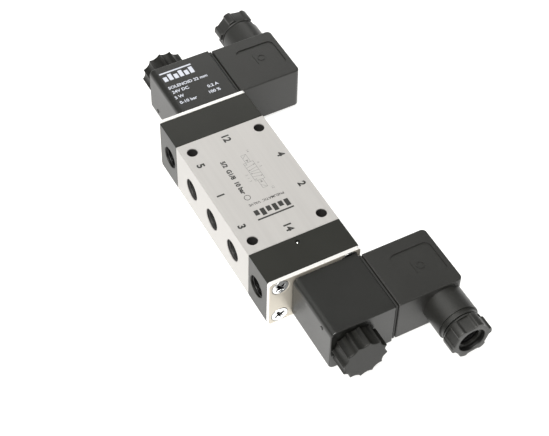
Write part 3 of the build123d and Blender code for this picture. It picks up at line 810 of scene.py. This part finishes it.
def coil_label(sizes, end):
    """White lettering on one broad side of a coil, along +Y: on top at end 12 and below at end 14."""
    face = stem_box("coil_housing")[2][0]
    parts = []
    for text, x, y, size in LABEL_LINES:
        place = reading((0, 1, 0), (1, 0, 0), (-x * MM, y * MM, face))
        parts.append(letters(text, size * MM, place, 2 * sizes.ink, BOLD["coil"] * MM))
    blocks = bar_mark(0.1 * MM, 71.0 * MM, 7.4 * MM, 3.9 * MM)
    parts += printed(blocks, face, sizes.ink)
    return [(seat(points, end), faces) for points, faces in parts]


def connector_mark(end):
    """A small raised ring and bar in the recessed panel on each broad side of a connector."""
    high = stem_box("connector_housing")[2][1]
    floor = high - 0.4 * MM
    low, rise, line = 0.05 * MM, 0.18 * MM, 0.4 * MM
    x, y, half = 64.8 * MM, 37.0 * MM, 2.6 * MM
    below = y - 2.8 * MM
    parts = []
    for side in (1, -1):
        ring = flat_ring((x, y), 1.6 * MM, line, floor - low, floor + rise)
        bar = stroke((x - half, below), (x + half, below), line)
        for points, faces in (ring, prism(bar, floor - low, floor + rise)):
            parts.append((seat(points * (1, 1, side), end), faces))
    return parts


def coil_pip(end):
    """The small round moulding pip near the top of the coil's narrow side: a dome on a short post."""
    (_, _), (front, _), (_, high) = stem_box("coil_housing")
    radius, rise, edge, sunk = 0.85 * MM, 0.3 * MM, 0.15 * MM, 0.1 * MM
    rows = [(-sunk, 0, 0), (-sunk, radius, 0), (0, radius, 0)]
    rows += arc_rows(rise - edge, radius - edge, edge, math.pi / 2, 0, 0)
    rows += [(rise, 0, 0)]
    along, first, second = np.moveaxis(turned(rows, 32), -1, 0)
    place = (71.5 * MM, front, high - 3.9 * MM)
    points = np.stack([first, -along, second], axis=-1) + place
    return shell(seat(points, end))


# ---------------------------------------------------------------- operators


class FrameFinish(bpy.types.Operator):
    """Gives every piece of the frame the finish of its slot in the record"""

    bl_idname = "valve.frame_finish"
    bl_label = "Finish the frame"

    def execute(self, context):
        FINISHES.update(make_finishes(context.scene.valve_colors))
        for part in frame["record"]["subparts"]:
            node = frame["nodes"][part["node"]]
            node.data.materials.clear()
            node.data.materials.append(FINISHES[part["material_slot"]])
        return {"FINISHED"}


class PortThreads(bpy.types.Operator):
    """Lines every port with a pipe thread"""

    bl_idname = "valve.port_threads"
    bl_label = "Port threads"

    def execute(self, context):
        sizes = context.scene.valve_sizes
        for name, points in port_sleeves(sizes):
            slot = "black_aluminium" if name.startswith("pilot") else "anodised_aluminium"
            # Painted shade: the whole thread is darkened, as the inside of a port lies in shade.
            painted_dark = np.full(points.shape[:2], sizes.painted_port_shade)
            add_piece(f"{name}_thread", shell(points, wrap_rows=True), FINISHES[slot], "root",
                      hollow=painted_dark)
        return {"FINISHED"}


class HoleShadeLinings(bpy.types.Operator):
    """Lines the mounting holes with a sheet of painted shade"""

    bl_idname = "valve.hole_linings"
    bl_label = "Mounting hole linings"

    def execute(self, context):
        sizes = context.scene.valve_sizes
        part = hole_linings(sizes)
        painted_dark = np.full(len(part[0]), sizes.painted_port_shade)
        add_piece("mounting_hole_linings", part, FINISHES["anodised_aluminium"], "root",
                  hollow=painted_dark)
        return {"FINISHED"}


class RetainingNuts(bpy.types.Operator):
    """Makes the fluted nuts that hold the coils, and the threads of their studs"""

    bl_idname = "valve.retaining_nuts"
    bl_label = "Retaining nuts"

    def execute(self, context):
        sizes = context.scene.valve_sizes
        start, stop = stem_box("retaining_nut")[0][0], stem_box("stem_core")[0][1]
        for end in ENDS:
            nut, hollow = retaining_nut(sizes, end)
            add_piece(f"fluted_nut_{end}", nut, FINISHES["nut_plastic"],
                      f"retaining_nut_{end}", [f"retaining_nut_{end}"], hollow)
            thread = threaded_sleeve(4.05 * MM, 4.0 * MM, 0.3 * MM, sizes.stud_pitch, (start, stop), False)
            add_piece(f"stud_thread_{end}", shell(seat(thread, end), wrap_rows=True),
                      FINISHES["magnet_iron"], "root")
        return {"FINISHED"}


class PlungerSprings(bpy.types.Operator):
    """Makes the springs that push the plungers out"""

    bl_idname = "valve.plunger_springs"
    bl_label = "Plunger springs"

    def execute(self, context):
        for end in ENDS:
            spring = add_piece(f"coil_spring_{end}", plunger_spring(context.scene.valve_sizes, end),
                               FINISHES["polished_steel"], "root",
                               [f"plunger_spring_{end}"])
            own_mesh(spring)
        return {"FINISHED"}


class GlandNuts(bpy.types.Operator):
    """Makes the ribbed gland nuts, and the threads of the necks they turn on"""

    bl_idname = "valve.gland_nuts"
    bl_label = "Gland nuts"

    def execute(self, context):
        sizes = context.scene.valve_sizes
        start, stop = stem_box("gland_nut")[0][0], stem_box("connector_housing")[0][1]
        span = (start - 0.3 * MM, stop - 0.1 * MM)
        for end in ENDS:
            nut, hollow = gland_nut(sizes, end)
            add_piece(f"ribbed_gland_nut_{end}", nut, FINISHES["connector_plastic"],
                      f"gland_nut_{end}", [f"gland_nut_{end}"], hollow)
            thread = threaded_sleeve(6.92 * MM, 6.85 * MM, 0.26 * MM, sizes.gland_pitch, span, False)
            points = seat(thread + (0, GLAND_Y, 0), end)
            add_piece(f"gland_thread_{end}", shell(points, wrap_rows=True),
                      FINISHES["connector_plastic"], f"coil_{end}")
        return {"FINISHED"}


class FlangeScrews(bpy.types.Operator):
    """Makes the eight countersunk screws of the flange plates, each turned a little differently"""

    bl_idname = "valve.flange_screws"
    bl_label = "Flange screws"

    def execute(self, context):
        sizes = context.scene.valve_sizes
        for end in ENDS:
            for number, (y, z) in enumerate(((-1, -1), (-1, 1), (1, -1), (1, 1))):
                turn = math.radians(28 + 13 * number)
                screw, hollow = flange_screw(sizes, y * SCREW_Y, z * SCREW_Z, turn, end)
                add_piece(f"flange_screw_{end}_{number + 1}", screw, FINISHES["zinc_steel"],
                          "root", ["flange_screws"], hollow)
        return {"FINISHED"}


class BodyPrint(bpy.types.Operator):
    """Prints the port numbers, the switching symbol and a plain mark on the body"""

    bl_idname = "valve.body_print"
    bl_label = "Body print"

    def execute(self, context):
        sizes = context.scene.valve_sizes
        top = BODY_HIGH.z
        dark = body_print(sizes, False)
        dark += printed(bar_mark(-0.5 * MM, 14.9 * MM, 8.0 * MM, 3.7 * MM), top, sizes.ink)
        add_piece("body_numbers", merged(dark), FINISHES["body ink"], "root")
        faint = body_print(sizes, True) + printed(switching_symbol(0.16 * MM), top, sizes.ink)
        add_piece("body_symbol", merged(faint), FINISHES["faint ink"], "root")
        return {"FINISHED"}


class CoilDetails(bpy.types.Operator):
    """Adds the white label and the moulding pip of each coil"""

    bl_idname = "valve.coil_details"
    bl_label = "Coil labels and pips"

    def execute(self, context):
        sizes = context.scene.valve_sizes
        for end in ENDS:
            add_piece(f"coil_label_{end}", merged(coil_label(sizes, end)), FINISHES["label ink"],
                      f"coil_{end}")
            add_piece(f"coil_pip_{end}", coil_pip(end), FINISHES["coil_plastic"],
                      f"coil_{end}")
        return {"FINISHED"}


class ConnectorMarks(bpy.types.Operator):
    """Raises the small mark in the panels of each connector"""

    bl_idname = "valve.connector_marks"
    bl_label = "Connector marks"

    def execute(self, context):
        for end in ENDS:
            add_piece(f"connector_mark_{end}", merged(connector_mark(end)), FINISHES["connector_plastic"],
                      f"coil_{end}")
        return {"FINISHED"}


def area_light(name, place, target, size, power):
    """A square soft light that faces a point."""
    light = bpy.data.lights.new(name, "AREA")
    light.shape = "SQUARE"
    light.size = size
    light.energy = power
    light.color = (1.0, 0.993, 0.965)
    lamp = bpy.data.objects.new(name, light)
    bpy.context.scene.collection.objects.link(lamp)
    lamp.location = place
    lamp.rotation_euler = (Vector(target) - Vector(place)).to_track_quat("-Z", "Y").to_euler()


class Stage(bpy.types.Operator):
    """Sets the floor, the soft lights and the camera"""

    bl_idname = "valve.stage"
    bl_label = "Stage"

    def execute(self, context):
        stage = context.scene.valve_stage
        self.floor(stage)
        self.lights(context, stage)
        self.camera(context, stage)
        return {"FINISHED"}

    def floor(self, stage):
        half = stage.floor_size
        mesh = bpy.data.meshes.new("floor")
        corners = [(x, y, FLOOR_Z) for x, y in ((-half, -half), (half, -half), (half, half), (-half, half))]
        mesh.from_pydata(corners, [], [(0, 1, 2, 3)])
        material = bpy.data.materials.new("pale floor")
        material.use_nodes = True
        shader = material.node_tree.nodes["Principled BSDF"]
        shader.inputs["Base Color"].default_value = (0.45, 0.45, 0.45, 1)
        shader.inputs["Emission Color"].default_value = (1, 0.995, 0.975, 1)
        shader.inputs["Emission Strength"].default_value = stage.table
        shader.inputs["Roughness"].default_value = 0.9
        shader.inputs["Specular IOR Level"].default_value = 0.1
        mesh.materials.append(material)
        floor = bpy.data.objects.new("floor", mesh)
        bpy.context.scene.collection.objects.link(floor)

    def lights(self, context, stage):
        world = bpy.data.worlds.new("studio")
        world.use_nodes = True
        background = world.node_tree.nodes["Background"]
        background.inputs["Color"].default_value = (1, 1, 1, 1)
        background.inputs["Strength"].default_value = stage.sky
        context.scene.world = world
        context.scene.view_settings.view_transform = "Standard"
        for name, place, size, power in LIGHTS:
            area_light(name, place, (0, 0, AXIS_Z), size, power)

    def camera(self, context, stage):
        data = bpy.data.cameras.new("camera")
        data.sensor_width = 36.0
        data.lens = stage.lens
        camera = bpy.data.objects.new("camera", data)
        context.scene.collection.objects.link(camera)
        forward = Vector(stage.aim).normalized()
        level = forward.cross(Vector((0, 0, 1))).normalized()
        right = Matrix.Rotation(-stage.roll, 3, forward) @ level
        up = right.cross(forward)
        turn = Matrix((right, up, -forward)).transposed().to_4x4()
        camera.matrix_world = Matrix.Translation(Vector(stage.eye)) @ turn
        context.scene.camera = camera


PIECE_OPERATORS = (
    FrameFinish, PortThreads, HoleShadeLinings, RetainingNuts, PlungerSprings, GlandNuts, FlangeScrews, BodyPrint,
    CoilDetails, ConnectorMarks,
)


class ValvePanel(bpy.types.Panel):
    """The valve's settings and the steps that build it"""

    bl_idname = "VIEW3D_PT_valve"
    bl_label = "Solenoid directional valve"
    bl_space_type = "VIEW_3D"
    bl_region_type = "UI"
    bl_category = "Valve"

    def draw(self, context):
        layout = self.layout
        for settings in (context.scene.valve_colors, context.scene.valve_sizes, context.scene.valve_stage):
            box = layout.box()
            for name in settings.__annotations__:
                box.prop(settings, name)
        for operator in PIECE_OPERATORS + (Stage,):
            layout.operator(operator.bl_idname)


CLASSES = (ValveColors, ValveSizes, ValveStage) + PIECE_OPERATORS + (Stage, ValvePanel)


def register():
    for cls in CLASSES:
        bpy.utils.register_class(cls)
    bpy.types.Scene.valve_colors = PointerProperty(type=ValveColors)
    bpy.types.Scene.valve_sizes = PointerProperty(type=ValveSizes)
    bpy.types.Scene.valve_stage = PointerProperty(type=ValveStage)


def unregister():
    del bpy.types.Scene.valve_stage
    del bpy.types.Scene.valve_sizes
    del bpy.types.Scene.valve_colors
    for cls in reversed(CLASSES):
        bpy.utils.unregister_class(cls)


def main():
    register()
    bpy.ops.valve.stage()
    bpy.ops.valve.frame_finish()
    bpy.ops.valve.port_threads()
    bpy.ops.valve.hole_linings()
    bpy.ops.valve.retaining_nuts()
    bpy.ops.valve.plunger_springs()
    bpy.ops.valve.gland_nuts()
    bpy.ops.valve.flange_screws()
    bpy.ops.valve.body_print()
    bpy.ops.valve.coil_details()
    bpy.ops.valve.connector_marks()


if __name__ == "__main__":
    main()
